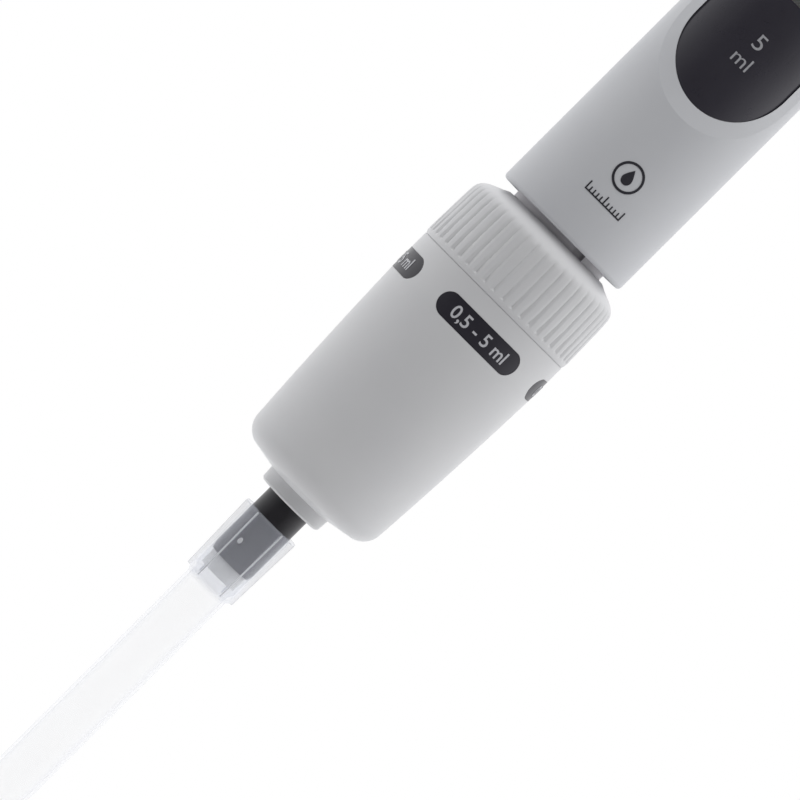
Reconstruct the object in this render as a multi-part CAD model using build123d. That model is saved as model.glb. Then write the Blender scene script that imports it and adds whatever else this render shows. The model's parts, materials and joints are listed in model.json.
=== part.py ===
from build123d import *
import os
from math import cos, radians, sin

# Adjustable piston pipette, 0.5 to 5 ml. Millimetres.
# The axis of the pipette is Z, pointing up. The origin is the centre of the tip's orifice.
# The display faces -Y, and the finger hook is on +Y. Everything stands at rest at 5.00 ml.

FRONT = -90.0                       # direction of the display, degrees from +X

# Fits, radial
RUNNING_GAP = 0.05                  # shaft in a bearing

# Tip
TIP_LENGTH = 160.0
TIP_COLLAR_BOTTOM = 142.4
TIP_COLLAR_R = 5.6
TIP_BODY_R = 5.1
TIP_WALL = 0.6
TIP_TAPER_TOP = 88.0                # the body is a straight tube above this height
TIP_WAIST = (2.6, 30.0)             # radius and height where the taper gets slimmer
TIP_STEP = (143.0, 144.0)           # the bore widens here to take the cone
TIP_ORIFICE_R = 0.7
TIP_FINS = 6
TIP_FIN_R = 6.7
TIP_FIN_THICK = 0.45

# Tip cone
CONE_R = 5.15
CONE_BOTTOM = 148.2
CONE_BORE_R = 2.0
CONE_FLANGE = (8.0, 170.0, 172.0)   # radius, bottom and top
CONE_SPIGOT_R = 7.0
FILTER_R = 4.4
FILTER_BOTTOM = 144.7
FILTER_POCKET_TOP = 152.2

# Barrel and piston
BARREL_BOTTOM = 173.0
BARREL_TOP = 252.0
BARREL_R = 12.0
BARREL_BORE_R = 10.0
BARREL_NECK_R = 11.2                # threaded end that screws into the frame
BARREL_NECK_BOTTOM = 246.0
SPRING_FLANGE = (16.3, 203.0, 205.0)
KEYWAY_ANGLE = FRONT + 25.0
KEYWAY_WIDTH = 3.0
KEYWAY_R = 11.1
PISTON_BOTTOM = 192.5               # 18.92 above the lowest point: 15.92 for 5 ml, 3 for blow-out
PISTON_TOP = 200.0
PISTON_R = 9.5
SEAL_GROOVE = (8.2, 195.0, 197.4)   # radius, bottom and top
ROD_R = 3.0
ROD_JOINT = 348.0                   # the push rod ends and the key's stem begins
ROD_COUPLING = (4.4, 340.0)         # radius and bottom

# Plunger springs and stops
BUSH_BOTTOM = 212.0
BUSH_TOP = 216.0
BUSH_RIM = (8.3, 219.0)             # inner radius and top of the blow-out spring's seat
SPRING_COLLAR = (9.2, 250.0, 253.0)
BLOWOUT_PLATE = (9.7, 231.58, 233.98)
BLOWOUT_BORE_R = 8.0
STOP_RING = (9.4, 234.2, 235.2)     # inner radius, bottom and top
RETURN_SPRING_R = (6.4, 7.6)
BLOWOUT_SPRING_R = (8.45, 9.35)
EJECTOR_SPRING_R = (13.7, 14.9)

# Ejector sleeve and ribbed collar
FLANGE_R = 7.8
FLANGE_BOTTOM = 165.0
SLEEVE_BOTTOM = 168.0
SLEEVE_TOP = 222.7
SLEEVE_R = 19.2
SLEEVE_WALL = 1.6
SPIGOT_BOTTOM = 218.0               # the collar's spigot inside the sleeve
COLLAR_BORE_R = 15.4
COLLAR_WEB = 235.0                  # underside of the collar's top, where the spring pushes
ROD_SOCKET = 236.5
COLLAR_TOP = 240.5
COLLAR_RIBS = 48
RIB_BOTTOM = 224.0
GROOVE_WIDTH = 1.25
GROOVE_DEPTH = 0.5
COLLAR_HOLE_R = 12.4
EJECTOR_ROD_R = 1.0
EJECTOR_ROD_AT = (13.4, 60.0)       # radius and angle of the ejector rod's axis

# Range labels on the sleeve
LABEL_HEIGHT = 5.5
LABEL_MIDDLE = 216.05
LABEL_HALF_WIDTH = 10.6
LABEL_FRONT = FRONT + 6.6
LABEL_THICK = 0.25

# Handle
HANDLE_BOTTOM = 241.7
HANDLE_TOP = 370.0
HANDLE_R = 16.2
HANDLE_BORE_R = 14.8
BASE_RING_TOP = 246.0
PANEL_R = 15.4
PANEL_HALF_WIDTH = 12.6
PANEL_END_HEIGHT = 13.7             # height of each elliptical end
PANEL_STRAIGHT = (291.5, 324.3)     # between the two ends
PANEL_BEVEL = 3.6
LENS_HALF_WIDTH = 6.5
LENS_LEVELS = (306.0, 332.0)
HOOK_WIDTH = 13.0
HOOK_FACE = 356.0                   # flat underside, where the pipette hangs on a rail
HOOK_REACH = 37.0

# Inner frame and volume mechanism
LOWER_PLATE = (276.0, 284.0)
UPPER_PLATE = (336.0, 340.0)
PILLAR_ANGLES = (-20.0, 122.0, 200.0)
PILLAR_R = 1.4
PILLAR_CIRCLE_R = 12.6
NUT_R = 8.5
SPINDLE = (267.6, 305.0)
SPINDLE_R = 6.4
SPINDLE_BORE_R = 4.8
SPINDLE_KEY_BOTTOM = 300.0
SPINDLE_KEY_WIDTH = 1.4
SPINDLE_KEY_R = 7.05
STOP_SHOULDER = (4.5, 264.5, 267.5)
DRIVE_SLEEVE = (284.5, 372.0)
DRIVE_SLEEVE_R = 7.8
DRIVE_BORE_R = 6.55
DRUM_R = 11.0
DRUM_HEIGHT = 7.0
DRUM_BOTTOMS = (308.0, 315.2, 322.4)
PINION_AT = (12.85, 150.0)
PINION_R = 1.75
PINION_BORE_R = 0.65
PINION_HEIGHT = 6.0
PINION_NOTCHES = 8
SCREW_R = 0.8
SCREW_LENGTH = 5.0
SCREW_HEAD = (1.4, 0.9)             # radius and height

# Top of the handle
CAP_BOTTOM = 366.0
CAP_HOLE_R = 9.5
DIAL = (372.0, 384.0)
DIAL_R = 11.5
DIAL_BORE_R = 6.0
DIAL_GROOVES = 36
STEM_R = 5.5
STEM_BOTTOM = 356.0
STEM_TOP = 403.5
KEY_TOP = 411.0
KEY_R = 9.5
INSERT_R = 6.0
INSERT_BOTTOM = 409.5
YOKE = (362.5, 365.0)
EJECTOR_KEY = (381.0, 399.0)
EJECTOR_KEY_R = (12.3, 16.2)
EJECTOR_KEY_HALF_ANGLE = 55.0
KEY_STEM_R = 1.1
KEY_STEM_CIRCLE_R = 13.3
KEY_STEM_ANGLES = (FRONT - 30.0, FRONT, FRONT + 30.0)

# Sliders in the handle wall
LOCK_SLOT = (344.3, 351.8)
LOCK_WIDTH = 5.2
LOCK_PLATE = (342.0, 348.0)
CALIBRATION_SLOT = (296.0, 308.0)
CALIBRATION_WIDTH = 4.2


def tube(outer, inner, bottom, top):
    """A round tube on the main axis, or a solid disc if the inner radius is 0."""
    base = (Align.CENTER, Align.CENTER, Align.MIN)
    solid = Pos(0, 0, bottom) * Cylinder(outer, top - bottom, align=base)
    if inner:
        solid -= Pos(0, 0, bottom) * Cylinder(inner, top - bottom, align=base)
    return solid


def at(polar):
    """A place off the axis, given as (radius, angle)."""
    return Pos(polar[0] * cos(radians(polar[1])), polar[0] * sin(radians(polar[1])), 0)


def rims(solid, radius):
    """The circular edges of one radius."""
    circles = solid.edges().filter_by(GeomType.CIRCLE)
    return [edge for edge in circles if abs(edge.radius - radius) < 0.01]


def block(angle, inner, outer, width, bottom, top):
    """A block that points away from the axis at an angle."""
    align = (Align.MIN, Align.CENTER, Align.MIN)
    return Rot(0, 0, angle) * Pos(inner, 0, bottom) * Box(outer - inner, width, top - bottom, align=align)


def turned(*points):
    """A solid of revolution with straight sides, from (radius, height) points."""
    outline = Polyline(*[(r, 0, z) for r, z in points], close=True)
    return revolve(make_face(outline), Axis.Z)


def line(start, end):
    """A straight stretch of a turned outline."""
    return Line((start[0], 0, start[1]), (end[0], 0, end[1]))


def bend(start, middle, end):
    """An arc of a turned outline through three (radius, height) points."""
    return ThreePointArc(*[(r, 0, z) for r, z in (start, middle, end)])


def oval(half_width, end_height, straight):
    """An upright oval facing -Y, with straight sides and half-elliptical ends."""
    low, high = straight
    lower = EllipticalCenterArc((0, low), half_width, end_height, start_angle=180, arc_size=180)
    upper = EllipticalCenterArc((0, high), half_width, end_height, start_angle=0, arc_size=180)
    sides = [Line((w, low), (w, high)) for w in (half_width, -half_width)]
    return Plane.XZ * make_face([lower, upper, *sides])


def window(half_width, levels, corner):
    """An upright rounded rectangle facing -Y."""
    height = levels[1] - levels[0]
    middle = sum(levels) / 2
    return Plane.XZ * Pos(0, middle) * RectangleRounded(2 * half_width, height, corner)


def pushed(face, depth=20.0):
    """A face on the XZ plane, pushed out towards -Y."""
    return extrude(face, amount=depth)


# Tip

def pipette_tip():
    waist_r, waist = TIP_WAIST
    bore_r = CONE_R + RUNNING_GAP
    body = turned(
        (TIP_ORIFICE_R, 0), (TIP_ORIFICE_R + 0.5, 0), (waist_r, waist),
        (TIP_BODY_R, TIP_TAPER_TOP), (TIP_BODY_R, TIP_COLLAR_BOTTOM - 0.6),
        (TIP_COLLAR_R, TIP_COLLAR_BOTTOM), (TIP_COLLAR_R, TIP_LENGTH), (bore_r, TIP_LENGTH),
        (bore_r, TIP_STEP[1]), (TIP_BODY_R - TIP_WALL, TIP_STEP[0]), (TIP_BODY_R - TIP_WALL, TIP_TAPER_TOP),
        (waist_r - TIP_WALL, waist),
    )
    rim = tube(TIP_FIN_R, bore_r, TIP_LENGTH - 0.4, TIP_LENGTH)
    fin_outline = Polyline(
        (TIP_COLLAR_R - 0.2, TIP_COLLAR_BOTTOM), (TIP_FIN_R - 0.5, TIP_COLLAR_BOTTOM),
        (TIP_FIN_R, TIP_LENGTH - 0.2), (TIP_COLLAR_R - 0.2, TIP_LENGTH - 0.2), close=True,
    )
    fin = extrude(Plane.XZ * make_face(fin_outline), amount=TIP_FIN_THICK / 2, both=True)
    fins = [Rot(0, 0, 360 * i / TIP_FINS) * fin for i in range(TIP_FINS)]
    return body + rim + fins


# Tip cone and barrel

def tip_cone():
    flange_r, flange_bottom, flange_top = CONE_FLANGE
    pocket_r = FILTER_R - 0.4
    return turned(
        (pocket_r, CONE_BOTTOM), (CONE_R - 0.3, CONE_BOTTOM), (CONE_R, CONE_BOTTOM + 1.5),
        (CONE_R, flange_bottom), (flange_r, flange_bottom), (flange_r, flange_top),
        (CONE_SPIGOT_R, flange_top), (CONE_SPIGOT_R, BARREL_BOTTOM), (CONE_BORE_R, BARREL_BOTTOM),
        (CONE_BORE_R, FILTER_POCKET_TOP), (pocket_r, FILTER_POCKET_TOP),
    )


def cone_seal():
    return tube(CONE_FLANGE[0] + 1.0, CONE_SPIGOT_R, CONE_FLANGE[2], BARREL_BOTTOM)


def cone_filter():
    head = tube(FILTER_R, 0, FILTER_BOTTOM, CONE_BOTTOM)
    return head + tube(FILTER_R - 0.4, 0, CONE_BOTTOM, FILTER_POCKET_TOP)


def shaft_barrel():
    flange_r, flange_bottom, flange_top = SPRING_FLANGE
    floor = CONE_FLANGE[2]
    seal_r = CONE_FLANGE[0] + 1.0
    body = turned(
        (seal_r, floor), (BARREL_R, floor), (BARREL_R, flange_bottom), (flange_r, flange_bottom),
        (flange_r, flange_top), (BARREL_R, flange_top), (BARREL_R, BARREL_NECK_BOTTOM),
        (BARREL_NECK_R, BARREL_NECK_BOTTOM), (BARREL_NECK_R, BARREL_TOP), (BARREL_BORE_R, BARREL_TOP),
        (BARREL_BORE_R, BARREL_BOTTOM + 0.5), (CONE_BORE_R, BARREL_BOTTOM + 0.5),
        (CONE_BORE_R, BARREL_BOTTOM), (seal_r, BARREL_BOTTOM),
    )
    keyway = block(KEYWAY_ANGLE, KEYWAY_R, BARREL_R + 1, KEYWAY_WIDTH, flange_top, BARREL_NECK_BOTTOM)
    return body - keyway


# Plunger

def piston():
    return tube(PISTON_R, 0, PISTON_BOTTOM, PISTON_TOP) - tube(PISTON_R, *SEAL_GROOVE)


def piston_seal():
    return tube(BARREL_BORE_R - RUNNING_GAP, *SEAL_GROOVE)


def piston_rod():
    return tube(ROD_R, 0, PISTON_TOP, SPRING_COLLAR[1])


def spring_collar():
    collar_r, bottom, top = SPRING_COLLAR
    return chamfer(tube(collar_r, 0, bottom, top).edges().group_by(Axis.Z)[-1], 0.6)


def push_rod():
    shoulder_r, bottom, top = STOP_SHOULDER
    return tube(ROD_R, 0, SPRING_COLLAR[2], ROD_JOINT) + tube(shoulder_r, 0, bottom, top)


def rod_coupling():
    outer, bottom = ROD_COUPLING
    return tube(outer, ROD_R, bottom, STEM_BOTTOM)


def key_stem():
    return tube(ROD_R, 0, ROD_JOINT, STEM_BOTTOM) + tube(STEM_R, 0, STEM_BOTTOM, STEM_TOP)


def pipetting_key():
    key = tube(KEY_R, 0, STEM_TOP, KEY_TOP)
    key = fillet(rims(key, KEY_R), 1.8)
    return key - tube(INSERT_R, 0, INSERT_BOTTOM, KEY_TOP)


def key_insert():
    """Colour-coded button with a shallow dish for the thumb."""
    top = KEY_TOP - 0.2
    dish = 0.5
    dish_r = INSERT_R - 0.6
    ball = (dish_r**2 + dish**2) / (2 * dish)
    return tube(INSERT_R, 0, INSERT_BOTTOM, top) - Pos(0, 0, top - dish + ball) * Sphere(ball)


# Stops and springs in the barrel

def guide_bush():
    bush = tube(BARREL_BORE_R, ROD_R + RUNNING_GAP, BUSH_BOTTOM, BUSH_TOP)
    inner, top = BUSH_RIM
    return bush + tube(BARREL_BORE_R, inner, BUSH_TOP, top)


def return_spring():
    inner, outer = RETURN_SPRING_R
    return tube(outer, inner, BUSH_TOP, SPRING_COLLAR[1])


def blowout_spring():
    inner, outer = BLOWOUT_SPRING_R
    return tube(outer, inner, BUSH_RIM[1], BLOWOUT_PLATE[1])


def blowout_plate():
    outer, bottom, top = BLOWOUT_PLATE
    return tube(outer, BLOWOUT_BORE_R, bottom, top)


def stop_retaining_ring():
    return tube(BARREL_BORE_R, *STOP_RING)


def ejector_spring():
    inner, outer = EJECTOR_SPRING_R
    return tube(outer, inner, SPRING_FLANGE[2], COLLAR_WEB)


# Ejector

def ejector_sleeve():
    """Tapered sleeve with a rounded lower edge, a shallow dished floor and a small flange."""
    corner = (17.25, 173.5)
    edge = (14.2, 169.2)
    outer = [
        line((SLEEVE_R, SLEEVE_TOP), (SLEEVE_R, 214.0)),
        bend((SLEEVE_R, 214.0), (18.55, 196.5), corner),
        bend(corner, (16.15, 170.6), edge),
        line(edge, (FLANGE_R + 0.1, SLEEVE_BOTTOM)),
        line((FLANGE_R + 0.1, SLEEVE_BOTTOM), (FLANGE_R - 0.1, FLANGE_BOTTOM + 0.4)),
        line((FLANGE_R - 0.1, FLANGE_BOTTOM + 0.4), (FLANGE_R - 0.5, FLANGE_BOTTOM)),
    ]
    bore_r = CONE_R + 0.35
    inner = [
        line((FLANGE_R - 0.5, FLANGE_BOTTOM), (bore_r, FLANGE_BOTTOM)),
        line((bore_r, FLANGE_BOTTOM), (bore_r, SLEEVE_BOTTOM + SLEEVE_WALL - 0.6)),
        line((bore_r, SLEEVE_BOTTOM + SLEEVE_WALL - 0.6), (13.6, 170.9)),
        bend((13.6, 170.9), (14.8, 171.9), (15.6, 174.0)),
        bend((15.6, 174.0), (16.95, 196.5), (SLEEVE_R - SLEEVE_WALL, 214.0)),
        line((SLEEVE_R - SLEEVE_WALL, 214.0), (SLEEVE_R - SLEEVE_WALL, SLEEVE_TOP)),
        line((SLEEVE_R - SLEEVE_WALL, SLEEVE_TOP), (SLEEVE_R, SLEEVE_TOP)),
    ]
    return revolve(make_face(outer + inner), Axis.Z) - label_pockets()


def label_band(angle, inner, outer, inset):
    """A pill-shaped piece of a thin tube."""
    half_height = LABEL_HEIGHT / 2 - inset
    end = half_height * 0.87        # the round ends look narrower on the curved wall
    straight = LABEL_HALF_WIDTH - inset - end
    arcs = [
        EllipticalCenterArc((straight, 0), end, half_height, start_angle=-90, arc_size=180),
        EllipticalCenterArc((-straight, 0), end, half_height, start_angle=90, arc_size=180),
    ]
    edges = [Line((-straight, h), (straight, h)) for h in (half_height, -half_height)]
    pill = Plane.XZ * Pos(0, LABEL_MIDDLE) * make_face(arcs + edges)
    ring = tube(outer, inner, LABEL_MIDDLE - LABEL_HEIGHT, LABEL_MIDDLE + LABEL_HEIGHT)
    return Rot(0, 0, angle - FRONT) * (pushed(pill, 2 * SLEEVE_R) & ring)


def label_pockets():
    floor = SLEEVE_R - LABEL_THICK
    return [label_band(LABEL_FRONT + 90 * i, floor, SLEEVE_R + 1, 0) for i in range(4)]


def range_labels():
    floor = SLEEVE_R - LABEL_THICK
    return [label_band(LABEL_FRONT + 90 * i, floor, SLEEVE_R, 0.04) for i in range(4)]


def ejector_collar():
    """Ribbed collar with a domed top, a spigot in the sleeve and a key in the barrel's keyway."""
    spigot_r = SLEEVE_R - SLEEVE_WALL
    rim = (SLEEVE_R + 0.2, RIB_BOTTOM)
    shoulder = (19.0, 236.4)
    outline = [
        line((COLLAR_BORE_R, SPIGOT_BOTTOM), (spigot_r, SPIGOT_BOTTOM)),
        line((spigot_r, SPIGOT_BOTTOM), (spigot_r, SLEEVE_TOP)),
        line((spigot_r, SLEEVE_TOP), (SLEEVE_R, SLEEVE_TOP)),
        line((SLEEVE_R, SLEEVE_TOP), rim),
        line(rim, (19.25, 231.0)),
        line((19.25, 231.0), shoulder),
        bend(shoulder, (17.9, 238.5), (15.4, 239.8)),
        bend((15.4, 239.8), (14.5, 240.2), (13.4, COLLAR_TOP)),
        line((13.4, COLLAR_TOP), (COLLAR_HOLE_R, COLLAR_TOP)),
        line((COLLAR_HOLE_R, COLLAR_TOP), (COLLAR_HOLE_R, COLLAR_WEB)),
        line((COLLAR_HOLE_R, COLLAR_WEB), (COLLAR_BORE_R, COLLAR_WEB)),
        line((COLLAR_BORE_R, COLLAR_WEB), (COLLAR_BORE_R, SPIGOT_BOTTOM)),
    ]
    body = revolve(make_face(outline), Axis.Z)
    groove = block(0, SLEEVE_R - GROOVE_DEPTH, SLEEVE_R + 2, GROOVE_WIDTH, RIB_BOTTOM, COLLAR_TOP)
    pitch = 360 / COLLAR_RIBS
    body -= [Rot(0, 0, pitch * i) * groove for i in range(COLLAR_RIBS)]
    key_width = KEYWAY_WIDTH - 0.4
    body += block(KEYWAY_ANGLE, KEYWAY_R + 0.3, COLLAR_HOLE_R + 0.5, key_width, COLLAR_WEB, COLLAR_WEB + 3.0)
    return body - at(EJECTOR_ROD_AT) * tube(EJECTOR_ROD_R, 0, ROD_SOCKET, COLLAR_TOP)


def ejector_rod():
    return at(EJECTOR_ROD_AT) * tube(EJECTOR_ROD_R, 0, ROD_SOCKET, YOKE[0])


def ejector_yoke():
    bottom, top = YOKE
    return tube(14.5, DRIVE_SLEEVE_R + 1.2, bottom, top)


def ejector_key():
    """Thumb key curved round the dial, on three stems that pass through the cap."""
    inner, outer = EJECTOR_KEY_R
    bottom, top = EJECTOR_KEY
    ring = tube(outer, inner, bottom, top)
    ring = fillet(ring.edges().group_by(Axis.Z)[-1], 1.4)
    half = EJECTOR_KEY_HALF_ANGLE
    sector = [Rot(0, 0, FRONT + side * (half + 75)) * wedge(75) for side in (-1, 1)]
    rear = Rot(0, 0, FRONT + 180) * wedge(75)
    key = ring - sector - rear
    for angle in KEY_STEM_ANGLES:
        key += at((KEY_STEM_CIRCLE_R, angle)) * tube(KEY_STEM_R, 0, YOKE[1], bottom)
    return key


def wedge(half_angle, reach=30.0):
    """An upright wedge along +X, taller than anything at the top of the handle."""
    side = reach / cos(radians(half_angle))
    corners = [(0, 0)]
    for turn in (-half_angle, half_angle):
        corners.append((side * cos(radians(turn)), side * sin(radians(turn))))
    return Pos(0, 0, EJECTOR_KEY[0] - 5) * extrude(make_face(Polyline(*corners, close=True)), amount=30)


# Handle

def hook():
    """Finger hook: an arm that leaves the handle near its top and ends in a lip."""
    root = HANDLE_R - 1.0
    inner, lip = 22.0, HOOK_REACH - 4.0
    low, bend_z, top = 350.5, 361.0, 366.0
    outline = Polyline(
        (root, top + 1.0), (root, 343.0), (inner, HOOK_FACE), (lip - 1.5, HOOK_FACE), (lip, low),
        (HOOK_REACH, low), (HOOK_REACH - 2.0, bend_z), (27.0, top), close=True,
    )
    arm = extrude(Plane.YZ * make_face(outline), amount=HOOK_WIDTH / 2, both=True)
    rounds = (
        (4.0, [(inner, HOOK_FACE), (27.0, top), (HOOK_REACH - 2.0, bend_z)]),
        (1.9, [(lip, low), (HOOK_REACH, low)]),
        (1.0, [(lip - 1.5, HOOK_FACE)]),
    )
    for radius, corners in rounds:
        across = arm.edges().filter_by(Axis.X)
        arm = fillet([nearest(across, corner) for corner in corners], radius)
    sides = [face for face in arm.faces() if abs(face.center().X) > HOOK_WIDTH / 2 - 0.01]
    edges = [edge for face in sides for edge in face.edges() if edge.center().Y > root + 0.1]
    return fillet(edges, 1.5)


def nearest(edges, corner):
    """The edge along X that lies nearest to a (y, z) corner."""
    return min(edges, key=lambda edge: abs(edge.center().Y - corner[0]) + abs(edge.center().Z - corner[1]))


def handle_shell():
    shell = tube(HANDLE_R, HANDLE_BORE_R, HANDLE_BOTTOM, HANDLE_TOP)
    shell = fillet(rims(shell, HANDLE_R), 0.9)
    shell -= pushed(oval(PANEL_HALF_WIDTH, PANEL_END_HEIGHT, PANEL_STRAIGHT))
    wall = max(shell.faces().filter_by(GeomType.CYLINDER), key=lambda face: face.radius)
    bottom = PANEL_STRAIGHT[0] - PANEL_END_HEIGHT
    top = PANEL_STRAIGHT[1] + PANEL_END_HEIGHT
    rim = [edge for edge in wall.edges() if bottom - 1 < edge.center().Z < top + 1]
    rim = [edge for edge in rim if edge.geom_type != GeomType.CIRCLE and edge.center().Y < -5]
    shell = chamfer(rim, length=PANEL_BEVEL, length2=HANDLE_R - PANEL_R, reference=wall)
    shell += hook() - tube(HANDLE_BORE_R + 0.7, 0, HANDLE_BOTTOM, HANDLE_TOP)
    shell -= block(FRONT, 12.0, 20.0, LOCK_WIDTH, *LOCK_SLOT)
    return shell - block(-FRONT, 12.0, 20.0, CALIBRATION_WIDTH, *CALIBRATION_SLOT)


def handle_base_ring():
    ring = tube(HANDLE_BORE_R, BARREL_R, HANDLE_BOTTOM + 0.2, BASE_RING_TOP)
    return ring - at(EJECTOR_ROD_AT) * tube(EJECTOR_ROD_R + 0.1, 0, HANDLE_BOTTOM, BASE_RING_TOP)


def display_panel():
    skin = tube(PANEL_R, HANDLE_BORE_R, LENS_LEVELS[0] - 40, LENS_LEVELS[1] + 10)
    gap = 0.05
    outline = oval(PANEL_HALF_WIDTH - gap, PANEL_END_HEIGHT - gap, PANEL_STRAIGHT)
    panel = pushed(outline) & skin
    return panel - pushed(window(LENS_HALF_WIDTH, LENS_LEVELS, 2.0))


def display_lens():
    skin = tube(PANEL_R, HANDLE_BORE_R, *LENS_LEVELS)
    return pushed(window(LENS_HALF_WIDTH, LENS_LEVELS, 2.0)) & skin


def rod_notch(bottom, top):
    """Open notch in a plate, where the ejector rod passes."""
    radius, angle = EJECTOR_ROD_AT
    gap = EJECTOR_ROD_R + 0.3
    return block(angle, radius - gap, HANDLE_BORE_R + 1, 2 * gap, bottom, top)


def inner_frame():
    """Skirt over the barrel's neck, lower plate, three pillars and upper plate in one moulding."""
    skirt = tube(BARREL_R, 10.6, BARREL_NECK_BOTTOM, LOWER_PLATE[0])
    skirt -= tube(BARREL_NECK_R, 0, BARREL_NECK_BOTTOM, BARREL_TOP)
    frame = skirt + tube(HANDLE_BORE_R, NUT_R, *LOWER_PLATE)
    frame += tube(HANDLE_BORE_R, DRIVE_SLEEVE_R + RUNNING_GAP, *UPPER_PLATE)
    for angle in PILLAR_ANGLES:
        frame += at((PILLAR_CIRCLE_R, angle)) * tube(PILLAR_R, 0, LOWER_PLATE[1], UPPER_PLATE[0])
    frame -= rod_notch(*LOWER_PLATE) + rod_notch(*UPPER_PLATE)
    for angle in PILLAR_ANGLES:
        hole = tube(SCREW_R, 0, UPPER_PLATE[1] - SCREW_LENGTH, UPPER_PLATE[1])
        frame -= at((PILLAR_CIRCLE_R, angle)) * hole
    return frame


def frame_screws():
    """Screws down into the pillars through the upper plate, heads on top."""
    head_r, head_height = SCREW_HEAD
    screw = tube(SCREW_R, 0, UPPER_PLATE[1] - SCREW_LENGTH, UPPER_PLATE[1])
    screw += tube(head_r, 0, UPPER_PLATE[1], UPPER_PLATE[1] + head_height)
    return [at((PILLAR_CIRCLE_R, angle)) * screw for angle in PILLAR_ANGLES]


def spindle_nut():
    return tube(NUT_R, SPINDLE_R + RUNNING_GAP, *LOWER_PLATE)


def pinion_axle():
    return at(PINION_AT) * tube(PINION_BORE_R - RUNNING_GAP, 0, LOWER_PLATE[1], UPPER_PLATE[0])


def top_cap():
    cap = tube(HANDLE_BORE_R, CAP_HOLE_R, CAP_BOTTOM, HANDLE_TOP)
    for angle in KEY_STEM_ANGLES:
        cap -= at((KEY_STEM_CIRCLE_R, angle)) * tube(KEY_STEM_R + 0.1, 0, CAP_BOTTOM, HANDLE_TOP)
    return cap


def dial_bearing():
    return tube(CAP_HOLE_R, DRIVE_SLEEVE_R + RUNNING_GAP, CAP_BOTTOM, DIAL[0] - 0.2)


# Volume mechanism

def volume_dial():
    dial = tube(DIAL_R, DIAL_BORE_R, *DIAL)
    dial = chamfer(rims(dial, DIAL_R), 0.6)
    pitch = 360 / DIAL_GROOVES
    groove = block(0, DIAL_R - 0.35, DIAL_R + 1, 0.9, DIAL[0] + 1.5, DIAL[1] - 1.5)
    return dial - [Rot(0, 0, pitch * i) * groove for i in range(DIAL_GROOVES)]


def drive_sleeve():
    sleeve = tube(DRIVE_SLEEVE_R, DRIVE_BORE_R, *DRIVE_SLEEVE)
    for angle in (0.0, 180.0):
        keyway_r, keyway_width = SPINDLE_KEY_R + 0.1, SPINDLE_KEY_WIDTH + 0.2
        sleeve -= block(angle, 5.0, keyway_r, keyway_width, DRIVE_SLEEVE[0], SPINDLE[1] + 1.0)
    return sleeve


def stop_spindle():
    spindle = tube(SPINDLE_R, SPINDLE_BORE_R, *SPINDLE)
    for angle in (0.0, 180.0):
        spindle += block(angle, 5.5, SPINDLE_KEY_R, SPINDLE_KEY_WIDTH, SPINDLE_KEY_BOTTOM, SPINDLE[1])
    return spindle


def drum(index):
    bottom = DRUM_BOTTOMS[index]
    bore = DRIVE_SLEEVE_R + (RUNNING_GAP if index else 0)
    body = tube(DRUM_R, bore, bottom, bottom + DRUM_HEIGHT)
    return chamfer(rims(body, DRUM_R), 0.25)


def transfer_pinion(index):
    """Small pinion beside the gap between one drum and the next."""
    bottom = DRUM_BOTTOMS[index] + DRUM_HEIGHT + 0.1 - PINION_HEIGHT / 2
    top = bottom + PINION_HEIGHT
    notch = block(0, PINION_R - 0.3, PINION_R + 1, 0.4, bottom, top)
    notches = [Rot(0, 0, 360 * i / PINION_NOTCHES) * notch for i in range(PINION_NOTCHES)]
    return at(PINION_AT) * (tube(PINION_R, PINION_BORE_R, bottom, top) - notches)


# Sliders

def lock_slider():
    low = LOCK_SLOT[0] + 0.2
    plate_outer = HANDLE_BORE_R - 0.1
    plate = tube(plate_outer, plate_outer - 1.2, *LOCK_PLATE)
    plate &= block(FRONT, 10.0, 20.0, LOCK_WIDTH + 3.0, *LOCK_PLATE)
    knob = block(FRONT, plate_outer - 0.5, HANDLE_R + 1.0, LOCK_WIDTH - 0.3, low, low + 4.0)
    return plate + knob


def calibration_slider():
    low = CALIBRATION_SLOT[0] + 0.5
    plate_outer = HANDLE_BORE_R - 0.1
    plate = tube(plate_outer, plate_outer - 1.2, low - 3.0, low + 9.0)
    plate &= block(-FRONT, 10.0, 20.0, CALIBRATION_WIDTH + 3.0, low - 3.0, low + 9.0)
    knob = block(-FRONT, plate_outer - 0.5, HANDLE_R - 0.3, CALIBRATION_WIDTH - 0.3, low, low + 6.0)
    return plate + knob


def write(name, shape):
    """One STEP file for one node. A list of solids becomes one group."""
    if isinstance(shape, (list, tuple)):
        shape = Compound(children=[solid for piece in shape for solid in piece.solids()])
    shape.label = name
    export_step(shape, f"parts/{name}.step")


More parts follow.
